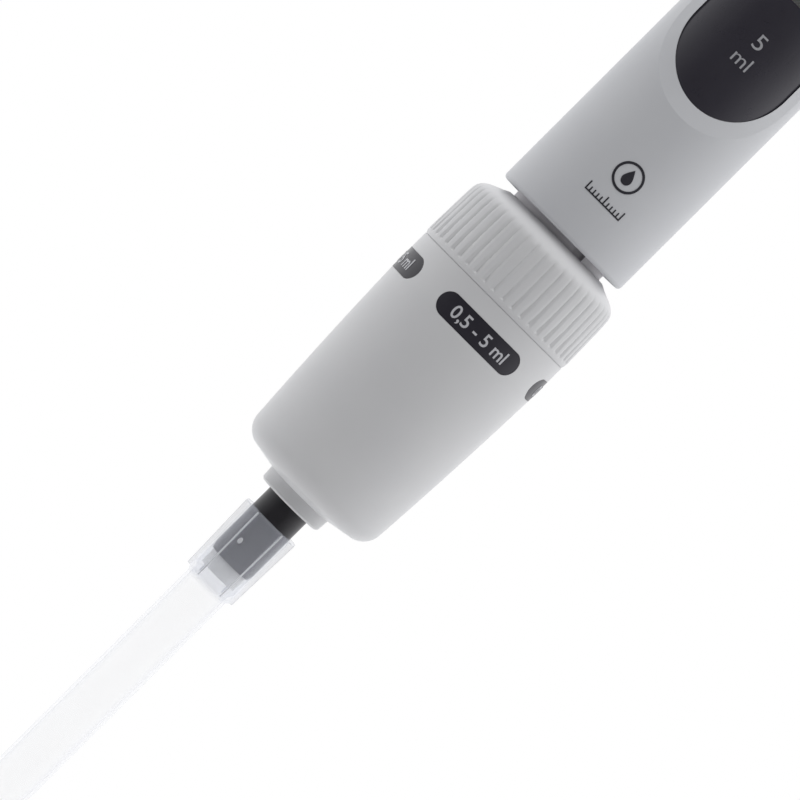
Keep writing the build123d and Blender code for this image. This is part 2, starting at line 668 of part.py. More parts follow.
NODES = {
    "pipette_tip": pipette_tip,
    "tip_cone": tip_cone,
    "cone_seal": cone_seal,
    "cone_filter": cone_filter,
    "shaft_barrel": shaft_barrel,
    "piston": piston,
    "piston_seal": piston_seal,
    "piston_rod": piston_rod,
    "spring_collar": spring_collar,
    "push_rod": push_rod,
    "rod_coupling": rod_coupling,
    "key_stem": key_stem,
    "pipetting_key": pipetting_key,
    "key_insert": key_insert,
    "guide_bush": guide_bush,
    "return_spring": return_spring,
    "blowout_spring": blowout_spring,
    "blowout_plate": blowout_plate,
    "stop_retaining_ring": stop_retaining_ring,
    "ejector_spring": ejector_spring,
    "ejector_sleeve": ejector_sleeve,
    "range_labels": range_labels,
    "ejector_collar": ejector_collar,
    "ejector_rod": ejector_rod,
    "ejector_yoke": ejector_yoke,
    "ejector_key": ejector_key,
    "handle_shell": handle_shell,
    "handle_base_ring": handle_base_ring,
    "display_panel": display_panel,
    "display_lens": display_lens,
    "inner_frame": inner_frame,
    "frame_screws": frame_screws,
    "spindle_nut": spindle_nut,
    "pinion_axle": pinion_axle,
    "top_cap": top_cap,
    "dial_bearing": dial_bearing,
    "volume_dial": volume_dial,
    "drive_sleeve": drive_sleeve,
    "stop_spindle": stop_spindle,
    "counter_drum_hundredths": lambda: drum(0),
    "counter_drum_tenths": lambda: drum(1),
    "counter_drum_ones": lambda: drum(2),
    "transfer_pinion_low": lambda: transfer_pinion(0),
    "transfer_pinion_high": lambda: transfer_pinion(1),
    "lock_slider": lock_slider,
    "calibration_slider": calibration_slider,
}

os.makedirs("parts", exist_ok=True)
for name, make in NODES.items():
    write(name, make())
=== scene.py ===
# %% [markdown]
# # A large adjustable pipette
#
# This lesson dresses a hand-held piston pipette. The mechanical model arrives finished, one mesh for
# each part of the real instrument. What is left is what the eye judges: moulded grips, printed bands,
# coiled wire, numbered drums, clear plastic, and soft studio light.
#
# The pipette stands upright. Z runs up its axis from the tip's orifice, the display looks along -Y,
# and the finger hook is on +Y. All lengths are in metres.

# %% Load the frame
import json
import math

import bpy
from mathutils import Matrix, Vector


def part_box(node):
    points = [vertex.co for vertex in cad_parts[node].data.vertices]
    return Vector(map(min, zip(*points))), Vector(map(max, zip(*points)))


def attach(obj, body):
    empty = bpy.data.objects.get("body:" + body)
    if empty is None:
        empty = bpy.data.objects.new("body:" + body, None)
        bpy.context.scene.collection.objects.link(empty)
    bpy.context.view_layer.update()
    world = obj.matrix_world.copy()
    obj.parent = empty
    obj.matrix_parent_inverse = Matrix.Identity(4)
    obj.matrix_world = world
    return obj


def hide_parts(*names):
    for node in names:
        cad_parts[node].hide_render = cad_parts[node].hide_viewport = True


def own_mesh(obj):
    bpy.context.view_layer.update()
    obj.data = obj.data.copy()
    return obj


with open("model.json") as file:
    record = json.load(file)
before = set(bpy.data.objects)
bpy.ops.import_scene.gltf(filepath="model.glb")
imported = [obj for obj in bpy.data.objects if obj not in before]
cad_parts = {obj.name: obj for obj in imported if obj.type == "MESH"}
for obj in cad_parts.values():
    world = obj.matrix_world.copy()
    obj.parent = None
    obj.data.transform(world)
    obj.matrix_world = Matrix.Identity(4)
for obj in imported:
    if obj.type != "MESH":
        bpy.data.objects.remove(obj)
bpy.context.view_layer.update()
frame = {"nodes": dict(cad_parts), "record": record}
nodes = frame["nodes"]
body_of = {node: body for body, group in frame["record"]["behaviour"]["bodies"].items() for node in group}

# %% [markdown]
# Makers think in millimetres, so one factor turns them into scene units. The front of the
# instrument, where the display is, lies at -90 degrees in the XY plane.

# %% Units and directions
MM = 0.001
FRONT = math.radians(-90)


def bottom_of(node):
    """Lowest height of a part, in metres."""
    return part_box(node)[0].z


def top_of(node):
    """Highest height of a part, in metres."""
    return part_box(node)[1].z


def reach_of(node):
    """Largest distance of a part from the axis, in metres."""
    return max(vertex.co.xy.length for vertex in nodes[node].data.vertices)


SLEEVE_R = reach_of("ejector_sleeve")
print("handle bottom", round(bottom_of("handle_shell") / MM, 2), "sleeve radius", round(SLEEVE_R / MM, 2))

# %% [markdown]
# ## The camera first
#
# The view is from almost straight in front, through a long lens, so the outlines stay nearly
# parallel, and the camera is rolled so that the pipette runs from the lower left to the upper right.
# A camera matrix is just three directions and a place: right, up and backwards.

# %% Camera
LENS = 250.0
FIELD = 160 * MM                    # width of the view where the axis of the pipette is
AIM = Vector((0.9 * MM, 0, 195.4 * MM))
AZIMUTH = math.radians(-2.0)
ELEVATION = math.radians(1.7)
ROLL = math.radians(45.1)


def place_camera():
    data = bpy.data.cameras.new("camera")
    data.lens = LENS
    data.sensor_width = 36.0
    distance = FIELD * LENS / data.sensor_width
    back = Vector((
        math.sin(AZIMUTH) * math.cos(ELEVATION),
        -math.cos(AZIMUTH) * math.cos(ELEVATION),
        math.sin(ELEVATION),
    ))
    level = Vector((0, 0, 1)).cross(back).normalized()
    over = back.cross(level)
    right = level * math.cos(ROLL) + over * math.sin(ROLL)
    up = back.cross(right)
    camera = bpy.data.objects.new("camera", data)
    bpy.context.scene.collection.objects.link(camera)
    place = AIM + back * distance
    camera.matrix_world = Matrix((
        (right.x, up.x, back.x, place.x),
        (right.y, up.y, back.y, place.y),
        (right.z, up.z, back.z, place.z),
        (0, 0, 0, 1),
    ))
    data.clip_start, data.clip_end = 0.05, 20.0
    bpy.context.scene.camera = camera
    print("camera distance", round(distance, 3))


place_camera()

# %% [markdown]
# ## Node sums in Python
#
# A material is a graph of small sums. Written as nodes they are hard to read, so this small class
# wraps a socket, and an ordinary Python expression adds the Math nodes for it.

# %% A socket that takes part in sums
class Wire:
    def __init__(self, tree, socket):
        self.tree = tree
        self.socket = socket

    def math(self, operation, *values, clamp=False):
        node = self.tree.nodes.new("ShaderNodeMath")
        node.operation = operation
        node.use_clamp = clamp
        for place, value in zip(node.inputs, values):
            feed(self.tree, place, value)
        return Wire(self.tree, node.outputs[0])

    def __add__(self, other):
        return self.math("ADD", self, other)

    def __radd__(self, other):
        return self.math("ADD", other, self)

    def __sub__(self, other):
        return self.math("SUBTRACT", self, other)

    def __rsub__(self, other):
        return self.math("SUBTRACT", other, self)

    def __mul__(self, other):
        return self.math("MULTIPLY", self, other)

    def __rmul__(self, other):
        return self.math("MULTIPLY", other, self)

    def __truediv__(self, other):
        return self.math("DIVIDE", self, other)

    def __pow__(self, other):
        return self.math("POWER", self, other)

    def clamped(self):
        return self.math("ADD", self, 0.0, clamp=True)

    def clamped_to(self, low, high):
        return self.math("MINIMUM", self.math("MAXIMUM", self, low), high)


def feed(tree, socket, value):
    """Links a wire to a socket, or sets the socket's own value."""
    if isinstance(value, Wire):
        tree.links.new(value.socket, socket)
    elif isinstance(value, (tuple, list)) and len(value) == 3 and socket.type == "RGBA":
        socket.default_value = (*value, 1.0)
    else:
        socket.default_value = value


# %% [markdown]
# A finish is built in one place: the class below owns a material's tree, makes any node from its
# type, settings and inputs, and ends with the principled shader. Colours are written as a designer
# reads them off a swatch, 0 to 255 in sRGB, and turned into linear light.

# %% A finish and its nodes
def swatch(red, green, blue):
    """Linear colour of an sRGB swatch."""
    def linear(channel):
        share = channel / 255
        return share / 12.92 if share <= 0.04045 else ((share + 0.055) / 1.055) ** 2.4
    return (linear(red), linear(green), linear(blue))


class Finish:
    def __init__(self, name):
        plain = bpy.data.materials.get(name)
        if plain:                       # the frame comes with a plain stand-in of the same name
            bpy.data.materials.remove(plain)
        self.material = bpy.data.materials.new(name)
        self.material.use_nodes = True
        self.tree = self.material.node_tree
        self.tree.nodes.clear()
        self.output = self.tree.nodes.new("ShaderNodeOutputMaterial")
        self.place = self.node("ShaderNodeTexCoord", output="Object")

    def node(self, kind, settings=None, output=0, **inputs):
        node = self.tree.nodes.new(kind)
        for key, value in (settings or {}).items():
            setattr(node, key, value)
        for key, value in inputs.items():
            feed(self.tree, node.inputs[key.replace("_", " ")], value)
        return Wire(self.tree, node.outputs[output])

    def noise(self, scale, detail=2.0, roughness=0.5, stretch=None):
        """Soft noise from 0 to 1. Scale is in features to a metre."""
        place = self.place
        if stretch:
            place = self.node("ShaderNodeMapping", Vector=self.place, Scale=stretch)
        return self.node(
            "ShaderNodeTexNoise", Vector=place, Scale=scale, Detail=detail, Roughness=roughness)

    def mixed(self, share, first, second):
        """A colour between two swatches."""
        node = self.tree.nodes.new("ShaderNodeMix")
        node.data_type = "RGBA"
        feed(self.tree, node.inputs[0], share)
        feed(self.tree, node.inputs[6], first)
        feed(self.tree, node.inputs[7], second)
        return Wire(self.tree, node.outputs[2])

    def bump(self, height, strength, distance):
        return self.node("ShaderNodeBump", Height=height, Strength=strength, Distance=distance)

    def surface(self, **inputs):
        """The principled shader, fed by socket names with spaces written as underscores."""
        shader = self.tree.nodes.new("ShaderNodeBsdfPrincipled")
        for key, value in inputs.items():
            feed(self.tree, shader.inputs[key.replace("_", " ")], value)
        self.tree.links.new(shader.outputs[0], self.output.inputs["Surface"])
        return self.material


# %% [markdown]
# ## Finishes
#
# Most of the instrument is injection-moulded plastic. It is never one flat colour: the pigment
# flows a little, hands polish it, and the tool leaves a fine spark-eroded grain. Three noises carry
# that, a broad one for pigment, a middling one for polish, and a fine one for grain.

# %% Moulded plastics
def moulded(name, light, dark, gloss=0.4, grain=0.05, grain_scale=9000, coat=0.0, sheen=0.06):
    finish = Finish(name)
    pigment = finish.noise(60, detail=3)
    polish = finish.noise(260, detail=4, roughness=0.6)
    fine = finish.noise(grain_scale, detail=1)
    return finish.surface(
        Base_Color=finish.mixed((pigment * 1.6 - 0.3).clamped(), dark, light),
        Roughness=gloss + (polish - 0.5) * 0.16 + (fine - 0.5) * sheen,
        Normal=finish.bump(fine, grain, 0.06 * MM),
        IOR=1.5,
        Coat_Weight=coat,
        Coat_Roughness=0.12,
    )


handle_grey = moulded("handle_grey", swatch(206, 207, 210), swatch(201, 202, 206), gloss=0.42)
collar_grey = moulded("collar_grey", swatch(218, 218, 219), swatch(213, 213, 215), gloss=0.40)
panel_black = moulded("panel_black", swatch(55, 53, 61), swatch(49, 47, 55), gloss=0.30, grain=0.02)
cone_black = moulded("cone_black", swatch(48, 46, 50), swatch(41, 39, 43), gloss=0.36)
# Painted light: neck_grey is far paler than the real neck's dark grey plastic, so that the paint stands
# in for light that hardly reaches the narrow shaded gap under the handle.
neck_grey = moulded("neck_grey", swatch(222, 220, 223), swatch(214, 212, 216), gloss=0.45)
dial_black = moulded("dial_black", swatch(58, 58, 62), swatch(48, 48, 52), gloss=0.42)
key_grey = moulded("key_grey", swatch(120, 122, 127), swatch(110, 112, 118), gloss=0.38)
slider_grey = moulded("slider_grey", swatch(92, 93, 97), swatch(82, 83, 88), gloss=0.4)
frame_plastic = moulded("frame_plastic", swatch(118, 122, 128), swatch(104, 108, 114), gloss=0.5)
bush_plastic = moulded("bush_plastic", swatch(222, 216, 196), swatch(212, 205, 184), gloss=0.34)
drum_black = moulded("drum_black", swatch(36, 36, 38), swatch(28, 28, 30), gloss=0.45)
piston_white = moulded("piston_white", swatch(232, 232, 228), swatch(222, 222, 218), gloss=0.3)
code_red = moulded("code_red", swatch(196, 34, 38), swatch(178, 26, 32), gloss=0.26, coat=0.3)
slider_red = moulded("slider_red", swatch(198, 40, 40), swatch(182, 30, 32), gloss=0.3, coat=0.2)
label_black = moulded("label_black", swatch(47, 45, 53), swatch(40, 38, 46), gloss=0.34, grain=0.015)
print("moulded finishes:", len(bpy.data.materials))

# %% [markdown]
# Print is thin ink. It needs hardly any grain, but its cover is slightly uneven, so the colour
# moves a little at the scale of the screen that laid it down.

# %% Inks
def ink(name, light, dark, gloss=0.42):
    finish = Finish(name)
    cover = finish.noise(5200, detail=2)
    return finish.surface(
        Base_Color=finish.mixed(cover, dark, light),
        Roughness=gloss + (cover - 0.5) * 0.15,
        Normal=finish.bump(cover, 0.04, 0.02 * MM),
    )


ink_dark = ink("ink_dark", swatch(52, 51, 58), swatch(40, 39, 46))
ink_pale = ink("ink_pale", swatch(206, 206, 210), swatch(188, 188, 193))
ink_panel = ink("ink_panel", swatch(176, 176, 180), swatch(158, 158, 163))
ink_white = ink("ink_white", swatch(238, 238, 236), swatch(222, 222, 220))
ink_red = ink("ink_red", swatch(222, 48, 44), swatch(204, 36, 36))

# %% [markdown]
# Steel shows how it was made. Ground rods carry fine rings round the axis, drawn wire is streaked
# along its length, and brass is turned. One function does all three: noise is squeezed along one
# direction, and it moves the roughness more than the colour.

# %% Metals
def metal(name, light, dark, gloss, stretch, scale=900):
    finish = Finish(name)
    streaks = finish.noise(scale, detail=3, stretch=stretch)
    stain = finish.noise(90, detail=2)
    return finish.surface(
        Base_Color=finish.mixed((streaks * 0.6 + stain * 0.5).clamped(), dark, light),
        Metallic=1.0,
        Roughness=gloss + (streaks - 0.5) * 0.22,
        Normal=finish.bump(streaks, 0.05, 0.03 * MM),
    )


RINGS = (0.15, 0.15, 4.0)
ALONG = (3.0, 3.0, 0.2)
rod_steel = metal("rod_steel", swatch(214, 214, 217), swatch(188, 189, 193), 0.24, RINGS)
spring_steel = metal("spring_steel", swatch(196, 197, 200), swatch(160, 161, 166), 0.3, ALONG)
screw_steel = metal("screw_steel", swatch(190, 190, 192), swatch(150, 150, 154), 0.35, RINGS)
nut_brass = metal("nut_brass", swatch(214, 182, 110), swatch(188, 154, 84), 0.28, RINGS)

# %% [markdown]
# Two seals are rubber, which is nearly black and dull with a dusty bloom. The filter plug is
# sintered plastic: white grains fused together, so it is a cell pattern in both colour and bump.

# %% Rubber and the sintered filter
def rubber(name):
    finish = Finish(name)
    bloom = finish.noise(700, detail=4, roughness=0.7)
    return finish.surface(
        Base_Color=finish.mixed(bloom, swatch(24, 24, 25), swatch(44, 44, 45)),
        Roughness=0.62 + (bloom - 0.5) * 0.3,
        Normal=finish.bump(bloom, 0.12, 0.04 * MM),
    )


def sintered(name):
    finish = Finish(name)
    grains = finish.node("ShaderNodeTexVoronoi", Vector=finish.place, Scale=2600)
    return finish.surface(
        Base_Color=finish.mixed(grains.clamped(), swatch(252, 252, 250), swatch(230, 230, 228)),
        Roughness=0.85,
        Normal=finish.bump(grains, 0.35, 0.12 * MM),
    )


seal_rubber = rubber("seal_rubber")
filter_white = sintered("filter_white")

# %% [markdown]
# Clear plastic is the hard one. A tip is thin polypropylene, slightly milky, and in a white tent it
# all but vanishes, except where a wall is seen edge on. Bending light through such a wall is slow and
# noisy for what it shows, so each wall is a thin veil: nearly see-through where it is met head on,
# denser at a grazing angle, with a clean gloss of its own. A faint flow pattern gives the haze.

# %% Clear plastics
def clear(name, tint, veil, edge, gloss, through, thick_above=None):
    """Clear plastic. Above a level in mm its wall is thick and ribbed, and its veil much denser."""
    finish = Finish(name)
    if thick_above is not None:
        level = finish.node("ShaderNodeSeparateXYZ", output="Z", Vector=finish.place)
        thick = ((level - thick_above * MM) / MM).clamped()
        veil = thick * (veil * 5.0) + veil
    flow = finish.noise(420, detail=3, stretch=(1.0, 1.0, 0.25))
    grazing = finish.node("ShaderNodeLayerWeight", output="Facing", Blend=0.5)
    return finish.surface(
        Base_Color=tint,
        Roughness=gloss + (flow - 0.5) * 0.04,
        Alpha=(grazing ** 3.0 * edge + flow * 0.02 + veil).clamped(),
        Transmission_Weight=through,
        IOR=1.5,
        Normal=finish.bump(flow, 0.01, 0.05 * MM),
    )


tip_clear = clear("tip_clear", swatch(242, 245, 255), 0.03, 0.28, 0.2, through=0.0, thick_above=141.0)
tip_frost = clear("tip_frost", swatch(244, 245, 248), 0.75, 0.2, 0.45, through=0.1)
lens_clear = clear("lens_clear", swatch(236, 238, 242), 0.05, 0.5, 0.05, through=0.0)

# %% [markdown]
# ## Who wears what
#
# The record names a finish for every part, and the finishes above carry the same names, so each
# part's mesh is dressed in one loop.

# %% Dress the parts
for entry in frame["record"]["subparts"]:
    part = nodes[entry["node"]]
    part.data.materials.clear()
    part.data.materials.append(bpy.data.materials[entry["material_slot"]])

# %% [markdown]
# ## Working by hand, from a script
#
# The operators that a modeller clicks work from a script too. They act on whatever is selected, so
# each piece starts from an empty selection, and the points to be moved are picked by where they are.
# A small toolbox keeps that short: begin, only, pick, apply_modifier, mend and done.

# %% Toolbox
WELD = 0.002 * MM                   # points closer than this become one


def begin():
    """Leaves edit mode, with nothing selected."""
    if bpy.context.object and bpy.context.object.mode != "OBJECT":
        bpy.ops.object.mode_set(mode="OBJECT")
    bpy.ops.object.select_all(action="DESELECT")


def only(piece):
    """Makes one piece the selected and active one."""
    begin()
    piece.select_set(True)
    bpy.context.view_layer.objects.active = piece


def pick(piece, test):
    """Opens edit mode with the vertices selected that pass a test of their place."""
    only(piece)
    mesh = piece.data
    for group in (mesh.vertices, mesh.edges, mesh.polygons):
        group.foreach_set("select", [False] * len(group))
    for vertex in mesh.vertices:
        vertex.select = bool(test(vertex.co))
    bpy.ops.object.mode_set(mode="EDIT")
    bpy.ops.mesh.select_mode(type="VERT")


def apply_modifier(piece, kind, **settings):
    """Adds a modifier with settings and applies it."""
    only(piece)
    modifier = piece.modifiers.new(kind.lower(), kind)
    for key, value in settings.items():
        setattr(modifier, key, value)
    bpy.ops.object.modifier_apply(modifier=modifier.name)


def mend(piece):
    """Welds doubles and turns every face outwards."""
    pick(piece, lambda place: True)
    bpy.ops.mesh.remove_doubles(threshold=WELD)
    bpy.ops.mesh.normals_make_consistent(inside=False)
    bpy.ops.object.mode_set(mode="OBJECT")


def done(piece, finish, body, *replaced, angle=35):
    """Dresses a piece, shades it, sets it on its body and hides the parts that it stands for."""
    only(piece)
    piece.data.materials.clear()
    piece.data.materials.append(finish)
    bpy.ops.object.shade_smooth_by_angle(angle=math.radians(angle))
    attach(piece, body)
    if replaced:
        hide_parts(*replaced)
    print(piece.name, "faces:", len(piece.data.polygons))


# %% [markdown]
# A turned part is an outline spun round the axis. A single point is pushed out step by step, as on
# graph paper, and the spin operator does the rest. The outline is written as (radius, height) in
# millimetres and ends where it began.

# %% The lathe
def drawn(name, outline):
    """A line through the points of an outline, left selected in edit mode."""
    begin()
    bpy.ops.mesh.primitive_plane_add(size=MM)
    piece = bpy.context.object
    piece.name = name
    bpy.ops.object.mode_set(mode="EDIT")
    bpy.ops.mesh.select_all(action="SELECT")
    bpy.ops.mesh.merge(type="CENTER")
    radius, height = outline[0]
    bpy.ops.transform.translate(value=(radius * MM, 0, height * MM))
    for next_radius, next_height in outline[1:]:
        step = ((next_radius - radius) * MM, 0, (next_height - height) * MM)
        bpy.ops.mesh.extrude_vertices_move(TRANSFORM_OT_translate={"value": step})
        radius, height = next_radius, next_height
    bpy.ops.mesh.select_all(action="SELECT")
    return piece


def lathe(name, outline, steps):
    piece = drawn(name, outline)
    bpy.ops.mesh.spin(steps=steps, angle=math.tau, center=(0, 0, 0), axis=(0, 0, 1))
    bpy.ops.object.mode_set(mode="OBJECT")
    mend(piece)
    return piece


def flute(piece, count, steps, low, high, least_radius, profile, first=0):
    """Draws upright grooves: profile says how deep each column is, counted from the groove's middle."""
    per_groove = steps // count
    for offset, depth in profile.items():
        def in_column(place):
            if not low * MM < place.z < high * MM or place.xy.length < least_radius * MM:
                return False
            column = round(math.atan2(place.y, place.x) / math.tau * steps) - first
            return column % per_groove in (offset % per_groove, -offset % per_groove)
        pick(piece, in_column)
        share = 1 - depth / (least_radius + 1)
        bpy.ops.transform.resize(value=(share, share, 1), center_override=(0, 0, 0))
        bpy.ops.object.mode_set(mode="OBJECT")


# %% [markdown]
# ## The ribbed collar
#
# Fingers turn this ring, so it carries 48 soft grooves. Cutting them with a boolean gives hard
# edges. Here the ring is spun with eight columns to each groove, and the columns near a groove's
# middle are drawn inwards, less and less to both sides, which is the rounded section that a worn
# moulding tool leaves. The ring of points at the lower end stays out, so every groove runs up a
# small ramp there, and at the top the grooves fade into the dome.

# %% Collar
COLLAR_GROOVES = 48
COLLAR_STEPS = COLLAR_GROOVES * 8
collar = lathe("ribbed_collar", [
    (17.6, 222.7), (19.0, 222.72), (19.18, 222.95), (19.3, 223.3), (19.38, 223.6), (19.38, 224.0),
    (19.37, 224.4), (19.3, 228.0), (19.22, 231.5), (19.14, 234.4), (19.02, 235.9), (18.8, 236.8),
    (18.4, 237.45), (17.8, 238.05), (17.1, 238.5), (16.3, 238.9), (15.3, 239.3), (14.2, 239.75),
    (13.5, 240.15), (13.0, 240.35), (12.4, 240.4), (12.4, 235.0), (15.4, 235.0), (15.4, 218.0),
    (17.6, 218.0), (17.6, 222.7),
], COLLAR_STEPS)
flute(collar, COLLAR_GROOVES, COLLAR_STEPS, 224.2, 236.3, 18.7, {0: 0.27, 1: 0.08}, first=1)
flute(collar, COLLAR_GROOVES, COLLAR_STEPS, 224.2, 224.6, 18.5, {0: 0.2, 1: 0.32}, first=1)
flute(collar, COLLAR_GROOVES, COLLAR_STEPS, 236.6, 237.0, 18.4, {0: 0.18, 1: 0.05}, first=1)
flute(collar, COLLAR_GROOVES, COLLAR_STEPS, 237.3, 237.6, 18.0, {0: 0.04}, first=1)
done(collar, collar_grey, body_of["ejector_collar"], "ejector_collar", angle=40)

# %% [markdown]
# ## The volume dial
#
# The dial under the thumb key sets the volume. It has a finer, wavy grip, a chamfer at both ends and
# a shallow ring in its top face, so that it reads as turned and moulded, not as a plain disc.

# %% Dial
DIAL_GROOVES = 36
DIAL_STEPS = DIAL_GROOVES * 8
dial = lathe("volume_dial_grip", [
    (6.0, 372.0), (10.6, 372.0), (11.2, 372.25), (11.5, 372.8), (11.5, 373.4), (11.5, 374.0),
    (11.5, 378.0), (11.5, 382.0), (11.5, 382.6), (11.5, 383.2), (11.25, 383.7), (10.7, 384.0),
    (10.0, 384.0), (9.8, 383.7), (8.2, 383.5), (8.0, 384.0), (6.3, 384.0), (6.0, 383.7), (6.0, 372.0),
], DIAL_STEPS)
flute(dial, DIAL_GROOVES, DIAL_STEPS, 373.7, 382.3, 11.2, {0: 0.45, 1: 0.36, 2: 0.16})
flute(dial, DIAL_GROOVES, DIAL_STEPS, 373.2, 373.6, 11.2, {0: 0.16, 1: 0.12, 2: 0.05})
flute(dial, DIAL_GROOVES, DIAL_STEPS, 382.4, 382.8, 11.2, {0: 0.16, 1: 0.12, 2: 0.05})
done(dial, dial_black, body_of["volume_dial"], "volume_dial")

# %% [markdown]
# ## Springs
#
# Three compression springs return the plunger, the blow-out plate and the ejector. A coil is a small
# ring of points carried up a screw: the Screw modifier winds it. Real springs end in a closed turn
# that lies flat, so a turn at the pitch of the wire goes below and above the open turns. All three
# lengths start and stop at the same angle, so they weld into one wire.

# %% Coil springs
def wind(name, wire, radius, low, pitch, turns):
    """One stretch of coil, with its first section at a height given in mm."""
    begin()
    bpy.ops.mesh.primitive_circle_add(
        vertices=12, radius=wire / 2 * MM, location=(radius * MM, 0, low * MM),
        rotation=(math.pi / 2, 0, 0))
    piece = bpy.context.object
    piece.name = name
    bpy.ops.object.transform_apply(location=True, rotation=True, scale=True)
    apply_modifier(piece, "SCREW", axis="Z", angle=math.tau, screw_offset=pitch * MM,
                   iterations=turns, steps=40, render_steps=40, use_smooth_shade=True)
    return piece


def coil(node, wire, radius, turns):
    low, high = bottom_of(node) / MM, top_of(node) / MM
    start, end = low + wire * 0.5, high - wire * 0.5
    pitch = (end - start - 2 * wire) / turns
    closed_low = wind(node + "_coil", wire, radius, start, wire, 1)
    open_turns = wind("open", wire, radius, start + wire, pitch, turns)
    closed_high = wind("closed", wire, radius, end - wire, wire, 1)
    only(closed_low)
    open_turns.select_set(True)
    closed_high.select_set(True)
    bpy.ops.object.join()
    pick(closed_low, lambda place: True)
    bpy.ops.mesh.remove_doubles(threshold=WELD)
    bpy.ops.mesh.select_all(action="DESELECT")
    bpy.ops.mesh.select_non_manifold()
    bpy.ops.mesh.fill_holes(sides=0)
    bpy.ops.object.mode_set(mode="OBJECT")
    mend(closed_low)
    done(closed_low, spring_steel, body_of[node], node)
    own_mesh(closed_low)


coil("return_spring", 1.2, 7.0, 9)
coil("blowout_spring", 0.9, 8.9, 4)
coil("ejector_spring", 1.2, 14.3, 4)

# %% [markdown]
# ## Print
#
# Lettering starts as a text object, becomes a flat mesh, is cut into narrow strips so that it can
# bend, and is rolled onto the wall at its radius. A Solidify modifier then gives it the thickness of
# ink, standing just proud, so the print catches the light like paint and never flickers with the
# wall behind it.

# %% Rolling print onto a wall
INK_LIFT = 0.02
INK_THICK = 0.05


def lettering(name, words, width, height, bold=0.0):
    """Flat letters of a size in mm, centred on the origin."""
    begin()
    bpy.ops.object.text_add()
    piece = bpy.context.object
    piece.name = name
    piece.data.body = words
    piece.data.offset = bold
    piece.data.resolution_u = 6
    bpy.ops.object.convert(target="MESH")
    fit(piece, width, height)
    return piece


def fit(piece, width, height):
    """Scales a flat piece to a size in mm and centres it."""
    xs = [vertex.co.x for vertex in piece.data.vertices]
    ys = [vertex.co.y for vertex in piece.data.vertices]
    middle = Vector(((min(xs) + max(xs)) / 2, (min(ys) + max(ys)) / 2, 0))
    pick(piece, lambda place: True)
    bpy.ops.transform.translate(value=-middle)
    scale = (width * MM / (max(xs) - min(xs)), height * MM / (max(ys) - min(ys)), 1)
    bpy.ops.transform.resize(value=scale, center_override=(0, 0, 0))
    bpy.ops.object.mode_set(mode="OBJECT")


def roll_on(piece, radius, angle, height, strip=0.5):
    """Rolls a flat piece round the axis at a radius and height in mm, centred on an angle in radians."""
    reach = max(abs(vertex.co.x) for vertex in piece.data.vertices)
    cuts = math.ceil(2 * reach / (strip * MM))
    for cut in range(1, cuts):
        pick(piece, lambda place: True)
        bpy.ops.mesh.bisect(plane_co=(-reach + 2 * reach * cut / cuts, 0, 0), plane_no=(1, 0, 0))
    pick(piece, lambda place: True)
    bpy.ops.mesh.remove_doubles(threshold=WELD)
    bpy.ops.object.mode_set(mode="OBJECT")
    lifted = (radius + INK_LIFT) * MM
    for vertex in piece.data.vertices:
        turn = angle + vertex.co.x / lifted
        vertex.co = (lifted * math.cos(turn), lifted * math.sin(turn), height * MM + vertex.co.y)
    apply_modifier(piece, "SOLIDIFY", thickness=INK_THICK * MM, offset=1.0)


# %% [markdown]
# The volume range stands on all four pill-shaped labels, and the window's panel carries the largest
# volume over its unit.

# %% Range labels and panel print
LABEL_ANGLE = FRONT + math.radians(6.9)
LABEL_HEIGHT = 216.05
for quarter in range(4):
    words = lettering(f"range_print_{quarter}", "0,5 - 5 ml", 14.8, 3.35, bold=0.012)
    roll_on(words, SLEEVE_R / MM, LABEL_ANGLE + quarter * math.pi / 2, LABEL_HEIGHT - 0.2)
    done(words, ink_pale, body_of["range_labels"])

PANEL_R = 15.4
for name, words, width, tall, aside, height in (
    ("panel_digit", "5", 2.1, 3.3, 0.6, 295.6),
    ("panel_unit", "ml", 4.1, 2.9, 0.5, 290.75),
):
    piece = lettering(name, words, width, tall)
    roll_on(piece, PANEL_R, FRONT + aside / PANEL_R, height)
    done(piece, ink_panel, body_of["display_panel"])

# %% [markdown]
# The handle carries a plain sign for a liquid, which belongs to no maker: a drop in a ring, over a
# short graduated rule. The drop is a disc whose top point is drawn out with soft selection.

# %% Drop and rule
HANDLE_R = 16.2
MARK_HEIGHT = 258.6
RULE_HEIGHT = 251.3
HANDLE_MARK = FRONT + 1.1 / HANDLE_R
RULE_HALF = 4.65
RULE_TICKS = 10


def drop_mark():
    begin()
    bpy.ops.mesh.primitive_circle_add(vertices=64, radius=3.3 * MM)
    ring = bpy.context.object
    ring.name = "drop_mark"
    bpy.ops.object.mode_set(mode="EDIT")
    bpy.ops.mesh.select_all(action="SELECT")
    bpy.ops.mesh.extrude_edges_move()
    bpy.ops.transform.resize(value=(0.84, 0.84, 1), center_override=(0, 0, 0))
    begin()
    bpy.ops.mesh.primitive_circle_add(vertices=48, radius=1.15 * MM, location=(0, -0.55 * MM, 0))
    drop = bpy.context.object
    bpy.ops.object.transform_apply(location=True)
    pick(drop, lambda place: place.y > 0.599 * MM)
    bpy.ops.transform.translate(
        value=(0, 1.35 * MM, 0), use_proportional_edit=True,
        proportional_edit_falloff="SHARP", proportional_size=1.7 * MM)
    bpy.ops.mesh.select_all(action="SELECT")
    bpy.ops.mesh.edge_face_add()
    only(ring)
    drop.select_set(True)
    bpy.ops.object.join()
    mend(ring)
    return ring


